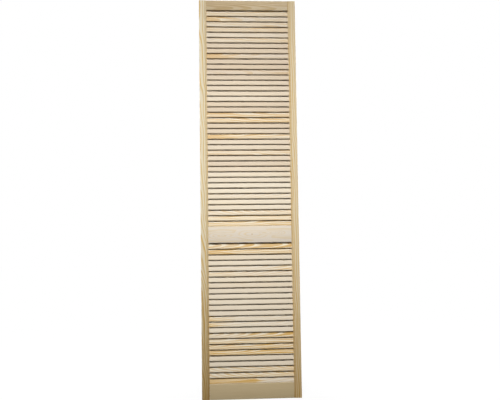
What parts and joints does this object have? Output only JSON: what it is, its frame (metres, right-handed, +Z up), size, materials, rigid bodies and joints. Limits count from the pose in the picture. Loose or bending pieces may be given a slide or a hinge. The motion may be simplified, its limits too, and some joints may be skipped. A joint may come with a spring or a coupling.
{
  "type": "louvred cabinet door",
  "caption": "Tall narrow pine cabinet door with fixed sloping louvre slats in two fields, framed by two stiles and a top, middle and bottom rail.",
  "frame": {"origin": "middle of the bottom edge of the leaf, halfway through its thickness", "axes": "+Z up the leaf, +Y through it from the front to the back, +X across it to the right seen from the front"},
  "size_m": [0.494, 0.021, 2.013],
  "materials": {
    "stile_pine": "planed and sanded pine, unfinished",
    "top_rail_pine": "planed and sanded pine, unfinished, tan board",
    "middle_rail_pine": "planed and sanded pine, unfinished, pale board",
    "bottom_rail_pine": "planed and sanded pine, unfinished, plain brown board",
    "slat_pine": "planed pine, unfinished, cream to orange"
  },
  "bodies": {
    "root": {"left_stile": "stile_pine", "right_stile": "stile_pine", "top_rail": "top_rail_pine", "middle_rail": "middle_rail_pine", "bottom_rail": "bottom_rail_pine", "upper_slat_01": "slat_pine", "upper_slat_02": "slat_pine", "upper_slat_03": "slat_pine", "upper_slat_04": "slat_pine", "upper_slat_05": "slat_pine", "upper_slat_07": "slat_pine", "upper_slat_08": "slat_pine", "upper_slat_09": "slat_pine", "upper_slat_10": "slat_pine", "upper_slat_11": "slat_pine", "upper_slat_13": "slat_pine", "upper_slat_14": "slat_pine", "upper_slat_15": "slat_pine", "upper_slat_16": "slat_pine", "upper_slat_17": "slat_pine", "upper_slat_19": "slat_pine", "upper_slat_20": "slat_pine", "upper_slat_21": "slat_pine", "upper_slat_22": "slat_pine", "upper_slat_23": "slat_pine", "upper_slat_25": "slat_pine", "upper_slat_26": "slat_pine", "upper_slat_27": "slat_pine", "upper_slat_28": "slat_pine", "upper_slat_29": "slat_pine", "upper_slat_31": "slat_pine", "upper_slat_32": "slat_pine", "upper_slat_33": "slat_pine", "upper_slat_34": "slat_pine", "upper_slat_35": "slat_pine", "upper_slat_37": "slat_pine", "upper_slat_38": "slat_pine", "upper_slat_39": "slat_pine", "upper_slat_40": "slat_pine", "lower_slat_01": "slat_pine", "lower_slat_02": "slat_pine", "lower_slat_03": "slat_pine", "lower_slat_04": "slat_pine", "lower_slat_05": "slat_pine", "lower_slat_07": "slat_pine", "lower_slat_08": "slat_pine", "lower_slat_09": "slat_pine", "lower_slat_10": "slat_pine", "lower_slat_11": "slat_pine", "lower_slat_13": "slat_pine", "lower_slat_14": "slat_pine", "lower_slat_15": "slat_pine", "lower_slat_16": "slat_pine", "lower_slat_17": "slat_pine", "lower_slat_19": "slat_pine", "lower_slat_20": "slat_pine", "lower_slat_21": "slat_pine", "lower_slat_22": "slat_pine", "lower_slat_23": "slat_pine", "lower_slat_25": "slat_pine"}
  },
  "joints": []
}
